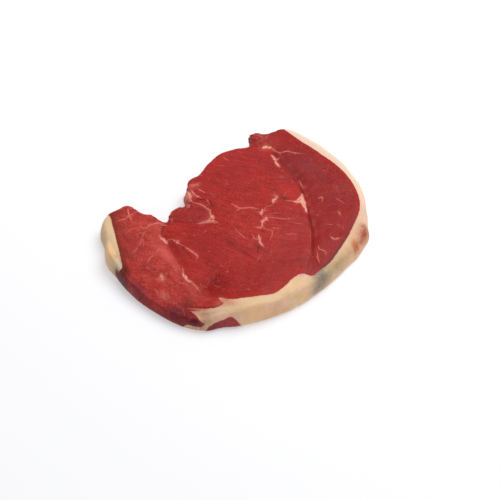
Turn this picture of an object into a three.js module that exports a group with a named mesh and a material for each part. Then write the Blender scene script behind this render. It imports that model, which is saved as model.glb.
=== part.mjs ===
// A raw sirloin steak: one thick slice across the rump end of the loin. Three muscles lie side by
// side in it, the round eye, the crescent cap and the tail, and a rind of fat runs round the outside
// of the cap and shows again as a pad at the end of the tail. Muscles and fat have grown together,
// so the steak is one solid: its outline, its leaning side, its low crowns and its creases.
//
// Millimetres, +Z up. X runs along the steak's length, and the origin lies under the middle of its
// box, on the board that the steak rests on.
import * as THREE from "three";
import { mergeGeometries, mergeVertices } from "three/addons/utils/BufferGeometryUtils.js";
import { TessellateModifier } from "three/addons/modifiers/TessellateModifier.js";

// Driving dimensions.
const LENGTH = 227;
const WIDTH = 173;
const THICKNESS = 18;

// The side: how it turns under at the foot, swells at half height and rounds off at the shoulder.
const FOOT_ROUND = 1.4;
const CUT_SHOULDER = 1.2; // the shoulder's radius on an upright cut
const SLUMPED_DROP = 0.45; // what it gains downwards for each millimetre of lean
const SLUMPED_REACH = 0.95; // and inwards, so that soft fat falls away to a ridge
const BELLY = 0.8;
const LEAN_CURVE = 1.2; // the lean starts slowly at the foot

// The upper cut face. Each muscle swells into a low crown, given by its rise and its oval.
const EYE_CROWN = { rise: 1.6, x: 0, y: -4, radiusX: 72, radiusY: 78 };
const CAP_CROWN = { rise: 0.9, x: 88, y: 12, radiusX: 24, radiusY: 60 };
const EYE_STEP = 1.1; // the eye also stands this much above its neighbours
const EYE_STEP_RAMP = 2.5; // half the width of the ramp down to the cap
const EYE_STEP_END = [-84, -66]; // the step dies out between these x, in the tail
const CREASE_DEPTH = 1.2;
const CREASE_HALF_WIDTH = 3.2;
const CROSSING_DEPTH = 1.2; // where creases meet they go this many times as deep at the most

// The tail thins out towards its skinned side, from a chord this far out to one near its edge.
const TAIL_DROP = 5.6;
const TAIL_DROP_REACH = [74, 108];
const SKINNED_SIDE = new THREE.Vector2(-0.93, -0.37); // the way that side faces

// Fineness of the facets.
const OUTLINE_STEPS = 184;
const SIDE_LEVELS = [0, 0.09, 0.3, 0.56, 0.79, 0.88, 0.95, 0.986, 1]; // shares of the height
const FACE_EDGE = 6.5; // the longest edge of a facet on the upper face
const SPLITS = 40; // more halvings than any edge needs
const CREASE_STEPS = 60;
const SAME_POINT = 1e-3;

// The foot line, counter-clockwise, as [x, y, lean]. The lean is how far the side falls inwards
// from its foot to its shoulder: a knife cut stands nearly upright, and soft fat slumps outwards.
const rindUnderTheEye = [
  [-67, -70.5, 4],
  [-41, -81.5, 4.5],
  [-6, -87, 4.5],
  [36, -83, 5],
];
const rindRoundTheCap = [
  [64, -76.5, 6],
  [90.5, -56, 6.5],
  [106, -30, 5],
  [114, 0, 3],
  [112.5, 34, 2.5],
  [105.5, 62, 2],
];
const capEnd = [
  [98, 69.5, 1.2],
  [88, 71, 1],
  [81.5, 74, 1],
  [76.5, 80.5, 0.8],
  [70.5, 81, 0.8],
  [66, 75.5, 0.6],
];
const eyeEdge = [
  [60.5, 68.5, 0.3],
  [49, 75, 0.8],
  [34, 80, 1],
  [17, 76.5, 1],
  [2, 71, 0.8],
  [-8, 71.5, 0.6],
  [-15, 65, 0.8],
  [-21.5, 59.5, 0.8],
  [-29.5, 48, 0.3],
  [-35.5, 52, 0.6],
  [-42, 52.5, 0.8],
  [-48, 47, 0.6],
];
const tailCut = [
  [-53, 44, 0.3],
  [-56.5, 58, 0.8],
  [-62, 66.5, 1],
  [-67, 82.5, 0.8],
  [-76, 84.5, 1],
];
const tailPad = [
  [-86, 87, 2.5],
  [-96.5, 83, 4.5],
  [-104.5, 69.5, 5.5],
  [-110.5, 50, 4.5],
];
const tailSkin = [
  [-114.5, 26, 2.5],
  [-114, 2, 3],
  [-109, -23.5, 3.5],
  [-101, -43, 4],
  [-91, -56, 4],
  [-79, -61.5, 4],
];

// The lines where one muscle meets the next, on the cut face.
const eyeToCap = [
  [66, 62],
  [71, 48],
  [71, 33],
  [65.5, 9],
  [50, -23],
  [28, -52],
  [10.5, -66.5],
];
const eyeToTail = [
  [-57.5, 45],
  [-67, 24],
  [-74, -5],
  [-77, -22],
  [-72, -41],
];
const lobeInTheEye = [
  [-54, 43],
  [-32, 24],
  [-20, 22],
  [-17, 35],
  [-24, 54],
];

function smoothCurve(points, closed) {
  const knots = points.map(([x, y, lean = 0]) => new THREE.Vector3(x, y, lean));
  return new THREE.CatmullRomCurve3(knots, closed, "centripetal");
}

const creases = [eyeToCap, eyeToTail, lobeInTheEye].map((points) =>
  smoothCurve(points, false).getSpacedPoints(CREASE_STEPS),
);
const [capCrease] = creases;

// The foot line in even steps, set square in a box of LENGTH by WIDTH round the origin.
function footLine() {
  const stretches = [
    rindUnderTheEye,
    rindRoundTheCap,
    capEnd,
    eyeEdge,
    tailCut,
    tailPad,
    tailSkin,
  ];
  const line = smoothCurve(stretches.flat(), true).getSpacedPoints(OUTLINE_STEPS).slice(0, -1);
  const box = new THREE.Box3().setFromPoints(line);
  const size = box.getSize(new THREE.Vector3());
  const middle = box.getCenter(new THREE.Vector3());
  return line.map(
    (p) =>
      new THREE.Vector3(
        ((p.x - middle.x) * LENGTH) / size.x,
        ((p.y - middle.y) * WIDTH) / size.y,
        p.z,
      ),
  );
}

// How far the side stands in from the foot line, at a height measured up from the board.
function stepIn(share, lean) {
  const height = share * THICKNESS;
  const drop = CUT_SHOULDER + SLUMPED_DROP * lean;
  const reach = CUT_SHOULDER + SLUMPED_REACH * lean;
  const footTurn = Math.min(1, height / FOOT_ROUND);
  const upTheShoulder = Math.max(0, (height - THICKNESS + drop) / drop);
  return (
    FOOT_ROUND * (1 - Math.sin((footTurn * Math.PI) / 2)) +
    reach * (1 - Math.sqrt(1 - upTheShoulder ** 2)) +
    lean * share ** LEAN_CURVE -
    BELLY * Math.sin(share * Math.PI)
  );
}

// One ring of the side: the foot line moved in along its own normals.
function sideRing(line, share) {
  return line.map((p, i) => {
    const before = line[(i + line.length - 1) % line.length];
    const after = line[(i + 1) % line.length];
    const inwards = new THREE.Vector2(before.y - after.y, after.x - before.x).normalize();
    const step = stepIn(share, p.z);
    return new THREE.Vector3(p.x + inwards.x * step, p.y + inwards.y * step, share);
  });
}

// A flat face across a ring.
function cutFace(ring, facesUp) {
  const contour = ring.map((p) => new THREE.Vector2(p.x, p.y));
  const triangles = THREE.ShapeUtils.triangulateShape(contour, []);
  const corners = triangles.flatMap(([a, b, c]) => (facesUp ? [a, b, c] : [c, b, a]));
  return new THREE.BufferGeometry().setFromPoints(corners.map((i) => ring[i]));
}

// The band of triangles between two rings.
function sideBand(lower, upper) {
  const corners = lower.flatMap((p, i) => {
    const j = (i + 1) % lower.length;
    return [p, lower[j], upper[j], p, upper[j], upper[i]];
  });
  return new THREE.BufferGeometry().setFromPoints(corners);
}

function smoothStep(from, to, value) {
  return THREE.MathUtils.smoothstep(value, from, to);
}

// A low round crown over an oval, at its full rise in the middle and 0 from the rim outwards.
function crownHeight(crown, x, y) {
  const reach = ((x - crown.x) / crown.radiusX) ** 2 + ((y - crown.y) / crown.radiusY) ** 2;
  return crown.rise * Math.max(0, 1 - reach) ** 1.5;
}

// Distance from a point to a crease, with a sign: positive on the left of the way it runs.
function distanceTo(crease, x, y) {
  let nearest = Infinity;
  for (let i = 1; i < crease.length; i++) {
    const from = crease[i - 1];
    const alongX = crease[i].x - from.x;
    const alongY = crease[i].y - from.y;
    const share = ((x - from.x) * alongX + (y - from.y) * alongY) / (alongX ** 2 + alongY ** 2);
    const foot = THREE.MathUtils.clamp(share, 0, 1);
    const offX = x - from.x - foot * alongX;
    const offY = y - from.y - foot * alongY;
    const distance = Math.hypot(offX, offY);
    if (distance < Math.abs(nearest)) {
      nearest = Math.sign(alongX * offY - alongY * offX || 1) * distance;
    }
  }
  return nearest;
}

// Height of the upper cut face over the board.
function faceHeight(x, y) {
  const insideTheCap = smoothStep(-EYE_STEP_RAMP, EYE_STEP_RAMP, -distanceTo(capCrease, x, y));
  const inTheEye = insideTheCap * smoothStep(...EYE_STEP_END, x);
  const towardsTheSkin = smoothStep(...TAIL_DROP_REACH, SKINNED_SIDE.x * x + SKINNED_SIDE.y * y);
  const creased = creases.reduce((sum, crease) => {
    const near = distanceTo(crease, x, y) / CREASE_HALF_WIDTH;
    return sum + Math.exp(-near * near);
  }, 0);
  return (
    THICKNESS +
    EYE_STEP * inTheEye +
    crownHeight(EYE_CROWN, x, y) +
    crownHeight(CAP_CROWN, x, y) -
    TAIL_DROP * towardsTheSkin -
    CREASE_DEPTH * Math.min(CROSSING_DEPTH, creased)
  );
}

function steakSolid() {
  const line = footLine();
  const rings = SIDE_LEVELS.map((share) => sideRing(line, share));
  const bands = rings.slice(1).map((upper, i) => sideBand(rings[i], upper));
  const underFace = cutFace(rings[0], false);
  const upperFace = cutFace(rings[rings.length - 1], true);
  const shell = new TessellateModifier(FACE_EDGE, SPLITS).modify(
    mergeGeometries([...bands, upperFace]),
  );
  const slab = mergeVertices(mergeGeometries([underFace, shell]), SAME_POINT);
  // Every corner still holds its share of the height in z, which now becomes the height itself.
  const corners = slab.getAttribute("position");
  for (let i = 0; i < corners.count; i++) {
    corners.setZ(i, corners.getZ(i) * faceHeight(corners.getX(i), corners.getY(i)));
  }
  slab.computeVertexNormals();
  return slab;
}

const rawMeat = new THREE.MeshStandardMaterial({
  color: 0xa62c2c,
  roughness: 0.45,
  metalness: 0,
});

const steak = new THREE.Mesh(steakSolid(), rawMeat);
steak.name = "steak";

const sirloinSteak = new THREE.Group();
sirloinSteak.add(steak);

export default sirloinSteak;
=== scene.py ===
# A raw sirloin steak, lying flat on a pale floor: a bright round eye, a darker cap, a pinker tail,
# a rind of creamy fat and a web of fine veins of fat through the lean.
import math

import bpy
import numpy as np
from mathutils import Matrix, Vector
from mathutils.kdtree import KDTree


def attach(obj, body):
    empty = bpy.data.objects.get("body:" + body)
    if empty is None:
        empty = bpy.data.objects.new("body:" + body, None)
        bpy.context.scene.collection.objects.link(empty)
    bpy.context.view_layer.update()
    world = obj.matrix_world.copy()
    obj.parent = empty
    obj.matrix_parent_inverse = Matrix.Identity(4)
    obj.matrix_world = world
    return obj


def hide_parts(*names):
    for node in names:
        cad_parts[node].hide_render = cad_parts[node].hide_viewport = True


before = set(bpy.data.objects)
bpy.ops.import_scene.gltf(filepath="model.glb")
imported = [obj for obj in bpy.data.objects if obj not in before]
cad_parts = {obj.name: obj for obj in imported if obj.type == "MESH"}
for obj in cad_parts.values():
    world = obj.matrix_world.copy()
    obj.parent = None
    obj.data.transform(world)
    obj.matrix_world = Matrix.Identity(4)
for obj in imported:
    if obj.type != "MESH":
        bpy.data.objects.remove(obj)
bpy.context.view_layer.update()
MM = 0.001

# ---------------------------------------------------------------------------------------------
# The slice. One soft piece of meat, cut across the muscles with a long knife. It starts as a copy
# of the solid, is turned into an even skin of small faces and has its facets eased away.
FACE_SIZE = 0.91  # mm, the edge of one face of the skin
EASING_PASSES = 9
ROLLING_PASSES = 35
OUTLINE_SPACING = 0.4  # mm
SKIN_FACES = (-0.93, -0.37)  # the way the tail's skinned side faces, where the edge is rolled
SKIN_FROM = 84  # mm from the middle that way, where the rolling begins
SKIN_RAMP = 12  # mm over which it comes in
EDGE_START = (-91.5, -52.5)  # distances along the edge are counted from here, anticlockwise

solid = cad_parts["steak"]
steak = bpy.data.objects.new("sirloin", solid.data.copy())
bpy.context.scene.collection.objects.link(steak)
bpy.ops.object.select_all(action="DESELECT")
steak.select_set(True)
bpy.context.view_layer.objects.active = steak
bpy.ops.object.mode_set(mode="EDIT")
bpy.ops.mesh.select_all(action="SELECT")
bpy.ops.mesh.remove_doubles(threshold=1e-6)
bpy.ops.object.mode_set(mode="OBJECT")


def foot_outline(mesh, spacing):
    """The line round the resting face, in mm, anticlockwise and evenly spaced."""
    uses = {}
    for polygon in mesh.polygons:
        if polygon.normal.z < -0.999 and polygon.center.z < 1e-5:
            for edge in polygon.edge_keys:
                uses[edge] = uses.get(edge, 0) + 1
    neighbours = {}
    for a, b in (edge for edge, count in uses.items() if count == 1):
        neighbours.setdefault(a, []).append(b)
        neighbours.setdefault(b, []).append(a)
    first = next(iter(neighbours))
    walk = [first, neighbours[first][0]]
    while len(walk) < len(neighbours):
        walk.append(next(n for n in neighbours[walk[-1]] if n != walk[-2]))
    corners = np.array([mesh.vertices[i].co[:2] for i in walk]) / MM
    x, y = corners.T
    if np.sum(x * np.roll(y, -1) - y * np.roll(x, -1)) < 0:
        corners = corners[::-1]
    start = np.argmin(np.linalg.norm(corners - EDGE_START, axis=1))
    corners = np.roll(corners, -start, axis=0)
    closed = np.vstack([corners, corners[:1]])
    along = np.concatenate([[0], np.cumsum(np.linalg.norm(np.diff(closed, axis=0), axis=1))])
    places = np.arange(0, along[-1], spacing)
    return np.column_stack([np.interp(places, along, closed[:, i]) for i in range(2)])


outline = foot_outline(steak.data, OUTLINE_SPACING)

skin = steak.modifiers.new("even skin", "REMESH")
skin.mode = "VOXEL"
skin.voxel_size = FACE_SIZE * MM
bpy.ops.object.modifier_apply(modifier=skin.name)


def ease(passes, group=""):
    """Draw each point towards its neighbours, all over or in one group only."""
    easing = steak.modifiers.new("easing", "SMOOTH")
    easing.factor = 0.5
    easing.iterations = passes
    easing.vertex_group = group
    bpy.ops.object.modifier_apply(modifier=easing.name)


ease(EASING_PASSES)
rolled = steak.vertex_groups.new(name="rolled edge")
for vertex in steak.data.vertices:
    along_skin = np.clip((np.dot(SKIN_FACES, vertex.co[:2]) / MM - SKIN_FROM) / SKIN_RAMP, 0, 1)
    if along_skin > 0:
        rolled.add([vertex.index], float(along_skin), "REPLACE")
ease(ROLLING_PASSES, rolled.name)

count = len(steak.data.vertices)

# ---------------------------------------------------------------------------------------------
# The muscles. The round eye fills the middle, the cap curves round its right side and the tail
# hangs off its left. Lines are runs of points in mm, in the part's own X and Y, on the upper cut
# face. Deeper in the slice each muscle has moved on a little, so the lower face is cut differently.
THICKNESS = 18
SHIFT_THROUGH_SLICE = (2.2, -1.6)  # mm, from the upper face to the lower
WAVER = 2.4  # mm, how far the muscles wander on the way
WAVER_LUMPS = (30, 30, 14)  # mm

LATTICE = np.random.default_rng(11).uniform(-1, 1, 4096)
HASH = np.array([73856093, 19349663, 83492791])


def lumps(points, size):
    """Smooth noise from -1 to 1 at each point, with lumps of about the given size in mm."""
    cell = points / np.asarray(size, float)
    low = np.floor(cell).astype(np.int64)
    part = cell - low
    part = part * part * (3 - 2 * part)
    total = np.zeros(len(points))
    for corner in np.ndindex(2, 2, 2):
        share = np.prod(np.where(np.array(corner) == 1, part, 1 - part), axis=1)
        total += share * LATTICE[((low + corner) @ HASH) % len(LATTICE)]
    return total


def smooth_line(points, spacing=0.4, closed=False):
    """Evenly close points on a smooth curve through the given ones."""
    knots = np.array(points, float)
    if closed:
        knots = np.vstack([knots[-1:], knots, knots[:2]])
    else:
        knots = np.vstack([2 * knots[0] - knots[1], knots, 2 * knots[-1] - knots[-2]])
    pieces = []
    for before, start, end, after in zip(knots, knots[1:], knots[2:], knots[3:]):
        steps = max(2, int(np.linalg.norm(end - start) / spacing))
        t = np.linspace(0, 1, steps, endpoint=False)[:, None]
        slope_in = (end - before) / 2
        slope_out = (after - start) / 2
        pieces.append(
            (2 * t**3 - 3 * t**2 + 1) * start
            + (t**3 - 2 * t**2 + t) * slope_in
            + (3 * t**2 - 2 * t**3) * end
            + (t**3 - t**2) * slope_out
        )
    if not closed:
        pieces.append(knots[-2:-1])
    return np.vstack(pieces)


def nearest(line, points):
    """Which point of a line is nearest to each of the given points, and how far off it is."""
    tree = KDTree(len(line))
    for i, (x, y) in enumerate(line):
        tree.insert((x, y, 0), i)
    tree.balance()
    found = [tree.find((x, y, 0))[1:] for x, y in points]
    return np.array([f[0] for f in found]), np.array([f[1] for f in found])


def inside(loop, points):
    """Signed distance in mm to a closed loop, positive inside it."""
    _, distance = nearest(loop, points)
    x, y = points[:, 0], points[:, 1]
    crossings = np.zeros(len(points), int)
    for (ax, ay), (bx, by) in zip(loop, np.roll(loop, -1, 0)):
        if ay == by:
            continue
        spans = (ay > y) != (by > y)
        crossings += spans & (x < ax + (y - ay) * (bx - ax) / (by - ay))
    return np.where(crossings % 2 == 1, distance, -distance)


def side_of(line, points):
    """Signed distance in mm to an open line, positive on the left of the way it runs."""
    index, distance = nearest(line, points)
    index = np.clip(index, 1, len(line) - 2)
    way = line[index + 1] - line[index - 1]
    off = points - line[index]
    return np.where(way[:, 0] * off[:, 1] - way[:, 1] * off[:, 0] > 0, distance, -distance)


def step(low, high, value):
    """0 below low, 1 above high, and smooth between."""
    t = np.clip((value - low) / (high - low), 0, 1)
    return t * t * (3 - 2 * t)


def band(middle, half_width, value):
    """1 at the middle, falling off softly on both sides."""
    return np.exp(-(((value - middle) / half_width) ** 2))


def read_points(name):
    values = np.zeros(count * 3, np.float32)
    steak.data.vertices.foreach_get(name, values)
    return values.reshape(-1, 3).astype(float)


place = read_points("co") / MM
facing = read_points("normal")
depth = np.clip(1 - place[:, 2] / THICKNESS, 0, 1)
waver = np.column_stack([lumps(place + shift, WAVER_LUMPS) for shift in (40, -70)])
plan = place[:, :2] + depth[:, None] * (np.array(SHIFT_THROUGH_SLICE) + WAVER * waver)

# Round the side, a place is given by how far along the edge it is and by its girth: how far up
# the side and then in over the upper face. On the resting face girth is counted below 0.
edge_index, edge_distance = nearest(outline, place[:, :2])
edge_run = edge_index * OUTLINE_SPACING
round_the_edge = len(outline) * OUTLINE_SPACING
edge_run = np.where(edge_run > round_the_edge / 2, edge_run - round_the_edge, edge_run)
in_from_edge = inside(outline, place[:, :2])
faces_down = facing[:, 2] < -0.7
girth = np.where(faces_down, -edge_distance, place[:, 2] + np.maximum(in_from_edge, 0))
rim = np.column_stack([edge_run, girth])

EYE_TO_CAP = [
    (60, 82), (63, 70), (65.5, 60), (65, 50), (63.5, 42), (62.8, 35), (62.5, 25), (62.5, 14.5),
    (61.2, 3), (56.5, -8.3), (51.5, -17.2), (46.8, -24.8), (41.3, -32.6), (35.2, -42.6),
    (27.5, -51.9), (19.6, -59.5), (12.5, -65.2), (4.7, -70.5), (-2, -76), (-6, -92),
]
EYE_TO_TAIL = [
    (-50, 60), (-57.5, 45), (-64.5, 36), (-67, 24), (-71.5, 8), (-74, -5), (-77, -14),
    (-77, -22), (-75, -31), (-72, -41), (-69, -49), (-66, -62), (-64, -80),
]
LOBE = [
    (-54, 43), (-47, 38.5), (-41, 32.5), (-32, 24), (-24.5, 19), (-20, 22), (-17.5, 29),
    (-17.5, 35), (-20, 45), (-24, 54), (-34, 66), (-50, 60),
]
past_cap_seam = side_of(smooth_line(EYE_TO_CAP), plan)
past_tail_seam = -side_of(smooth_line(EYE_TO_TAIL), plan)
in_lobe = inside(smooth_line(LOBE, closed=True), plan)
seam_blur = 0.6 + 5 * step(2, 28, plan[:, 1]) * step(78, 50, plan[:, 1])
cap = step(-1, 1, past_cap_seam / seam_blur)
tail = step(-5.0, 5.0, past_tail_seam) * (1 - cap)
lobe = step(-0.6, 0.6, in_lobe) * (1 - cap) * (1 - tail)
eye = (1 - cap) * (1 - tail)


def srgb(red, green, blue):
    """A colour as it is seen, 0 to 255, as the renderer's own numbers."""
    seen = np.array([red, green, blue]) / 255
    linear = np.where(seen <= 0.04045, seen / 12.92, ((seen + 0.055) / 1.055) ** 2.4)
    return (*linear.tolist(), 1.0)


def tinted(tints, points, raggedness=1.0):
    """Soft-edged tints laid one over the next, stains and in places painted shade and painted sheen: a
    colour and a strength at each point.
    """
    ragged = 1 + raggedness * (0.3 * lumps(place, 2.2) + 0.25 * lumps(place + 3, 5.0))
    colour = np.zeros((len(points), 3))
    strength = np.zeros(len(points))
    for tint, most, middle, reach in tints.values():
        off = (points - np.array(middle)) / np.array(reach)
        share = np.clip(most * ragged * np.exp(-(off**2).sum(1)), 0, 1)
        colour = colour * (1 - share[:, None]) + share[:, None] * np.array(srgb(*tint)[:3])
        strength = strength * (1 - share) + share
    colour /= np.maximum(strength, 1e-6)[:, None]
    return np.column_stack([colour, strength])


# Where the lean is darker, brighter or more purple: colour, strength, middle and reach in mm. Most are
# stains; those named shade or shadow are painted shade, those named sheen are painted sheen.
LEAN_STAINS_SHADE_AND_SHEEN = {
    "upper eye": ((142, 30, 32), 0.4, (22, 52), (42, 19)),
    "right eye": ((146, 28, 26), 0.4, (30, -24), (16, 26)),
    "eye by the upper seam": ((134, 26, 28), 0.45, (57, 28), (7, 22)),
    # Painted shade on the cap's side of the upper seam.
    "painted shade on the cap by the upper seam": ((118, 24, 26), 0.5, (69, 22), (5, 26)),
    # Painted sheen: a purple-grey reflection on the wet top of the cap and by the seam.
    "painted sheen on the cap": ((128, 48, 58), 0.35, (84, 14), (9, 20)),
    "painted sheen by the seam": ((130, 46, 54), 0.3, (76, 24), (6, 12)),
    "cap's far end": ((172, 52, 50), 0.5, (80, 62), (8, 10)),
    "brown beside the pad": ((132, 44, 34), 0.6, (-88, 62), (3.5, 22)),
    "brown beside the pad, low": ((128, 42, 32), 0.6, (-99, 40), (3.5, 12)),
    "tail, top corner": ((112, 40, 34), 0.7, (-82, 80.5), (5.5, 5)),
    "above the tongue": ((108, 32, 28), 0.65, (-89.5, -33), (6.5, 4)),
    "tail, pale brush": ((208, 106, 94), 0.45, (-100.5, -15), (3.5, 4.5)),
    "tail, pale clot": ((220, 130, 118), 0.5, (-91.5, -1), (2.6, 2.8)),
    "cap's lower corner": ((120, 22, 24), 0.45, (8, -62), (9, 5)),
    "lower eye": ((144, 10, 6), 0.6, (-20, -52), (44, 16)),
    "cap's near half": ((150, 20, 16), 0.6, (48, -54), (24, 15)),
    "beside the wedge": ((196, 92, 80), 0.75, (-71.5, -51), (4.5, 2.6)),
    "left eye": ((144, 26, 24), 0.5, (-46, 0), (12, 26)),
    # Painted shade in the hollow where the eye steps down beside the tail.
    "painted shade in the hollow by the tail": ((136, 24, 24), 0.6, (-64, 16), (4.5, 12)),
    "tail's bright flank": ((212, 88, 80), 0.75, (-75, 18), (4.5, 16)),
    "pit": ((116, 0, 0), 0.5, (-61.5, -35.5), (6, 6)),
    "pit, red round it": ((140, 0, 0), 0.55, (-61, -36), (11, 9)),
    "red above the wedge": ((176, 10, 0), 0.55, (-62.5, -50.5), (4, 3.5)),
    "red above the rind": ((170, 10, 0), 0.5, (-55, -56.5), (5, 3.5)),
    "red above the rind, right": ((166, 10, 0), 0.45, (-47, -60.5), (6, 3)),
    # Painted shadow to the left of the hook.
    "painted shadow beside the hook": ((120, 36, 40), 0.5, (-78.3, -8.5), (1.8, 3.5)),
    "below the far clot": ((168, 22, 4), 0.55, (68, 53), (4.5, 4)),
    "tail, brown by the pad": ((138, 26, 0), 0.4, (-88, 68), (8, 10)),
    "tail, brown below": ((138, 26, 0), 0.4, (-97, 50), (8, 11)),
    "under the ladder": ((116, 24, 24), 0.6, (-12, -28), (4, 5)),
    "beside the lobe": ((118, 22, 24), 0.6, (-11.5, 35), (3, 6)),
    "at the chain's head": ((104, 14, 16), 0.7, (41, 0), (3, 4)),
    "over the chain": ((110, 18, 20), 0.5, (40.5, 12.5), (1.5, 3)),
    "long shadow": ((126, 24, 24), 0.5, (-27, -8), (3.5, 10)),
    "by the right dash": ((128, 26, 28), 0.4, (-24, -22), (4, 8)),
    "ear of the eye": ((186, 36, 30), 0.5, (50, 4), (5, 11)),
    "tail, dark middle": ((150, 36, 32), 0.3, (-88, 38), (8, 12)),
    "tail, pale top": ((192, 76, 64), 0.4, (-66, 46), (6, 10)),
    "tail, pale foot": ((190, 74, 64), 0.35, (-80, -26), (9, 9)),
    "far end": ((138, 24, 24), 0.4, (68, 73), (6, 6)),
    "blood by the clot": ((176, 28, 20), 0.6, (67, 53), (4, 4)),
    "clot": ((206, 92, 70), 0.7, (70.5, 58.5), (3.0, 5.0)),
    "torn fat": ((238, 144, 126), 0.62, (-22, 56), (2.6, 5.0)),
    "torn fat, low": ((196, 76, 60), 0.2, (-27, 47), (3.5, 2.5)),
    "cut edge, pink": ((222, 116, 104), 0.45, (-10, 61.5), (4, 3)),
}
lean_stain_shade_and_sheen = tinted(LEAN_STAINS_SHADE_AND_SHEEN, plan, 0.5)

# ---------------------------------------------------------------------------------------------
# The fat: the rind, from the far end of the cap round to a tongue over the tail, and the pad at
# the tail's tip. It is firm and waxy, cut clean on the upper face and dried to tan outside, with a
# ridge between the two. Each loop is closed well outside the steak.
RIND = [
    (99, 84), (98, 66), (98.3, 55), (99.4, 42), (101.5, 24), (103, 8), (103, -3), (102, -13),
    (98.5, -28), (92.5, -39.8), (85.5, -48), (77.5, -54), (65.5, -60.5), (56, -65.5),
    (47.5, -69), (35.5, -73.5), (27.7, -76.2), (22.1, -77.4), (17.2, -77.8), (12.5, -78),
    (9, -78.5), (5.6, -78.9), (2.7, -78), (0.4, -75.4), (-1.7, -72.8), (-5.5, -71),
    (-12.5, -71), (-20, -72.5), (-30, -73), (-35.5, -71.5), (-44, -67), (-52.3, -61.8),
    (-61.9, -55.7), (-65.8, -51.6), (-69.4, -46.6), (-69.8, -50.8), (-69.6, -53.2),
    (-73.9, -52.8), (-78.1, -50.3), (-84, -46), (-89.8, -41.8), (-94.6, -37.6), (-97, -39.2),
    (-98, -44), (-100, -60), (-60, -100),
    (60, -110), (140, -60), (140, 84),
]
PAD = [
    (-80, 100), (-84.7, 86), (-85.8, 79.2), (-89.2, 71.6), (-94.3, 60.7), (-98.7, 51.4), (-102.1, 43.8),
    (-105.5, 36.5), (-108, 31), (-110, 29.5), (-111.5, 33), (-113, 37.5), (-125, 42),
    (-130, 60), (-120, 95),
]
# The next three are drawn round the side, as (distance along the edge, girth), and lie on the
# near side only.
UNDER_TONGUE = [
    (-40, 21.5), (-15.8, 20.6), (-12.2, 19.0), (-7, 16.8), (-3.2, 13.4), (-0.4, 10.6), (2.2, 8.9),
    (1.6, 6.8), (-2.2, 5.0), (-11, 5.0), (-16, 3.0), (-40, 3.0),
]
FOOT_PATCH = [
    (3.6, -2), (4.0, 3.5), (6, 6.0), (11.2, 8.0), (18, 9.2), (21.2, 11.3), (24.6, 12.3),
    (28.4, 8.4), (31.2, 3.0), (31.5, -2),
]
FOOT_BAND = [(-15, 1.2), (-11, 4.4), (-4, 3.4), (2, 3.0), (2, -2), (-15, -2)]
NEAR_RUN = 45  # how far the near side goes along the edge, either way
NEAR_Y = -5
NEAR_GIRTH = -6
WELL_OUTSIDE = -9.0
RIDGE = [  # (distance along the edge, girth) where the knife's cut meets the outer face
    (-160, 21), (-130, 21), (-111, 17), (-95, 15), (-60, 16), (10, 20), (30, 20.8), (47, 22.4),
    (61, 19.6), (71, 19.8), (82, 21.8), (92, 21), (99, 18.4), (119, 13), (132, 12.6), (146, 14.9),
    (160, 18.4), (175, 21.4), (192, 20), (230, 19.4), (320, 19.4), (359, 20),
]
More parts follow.
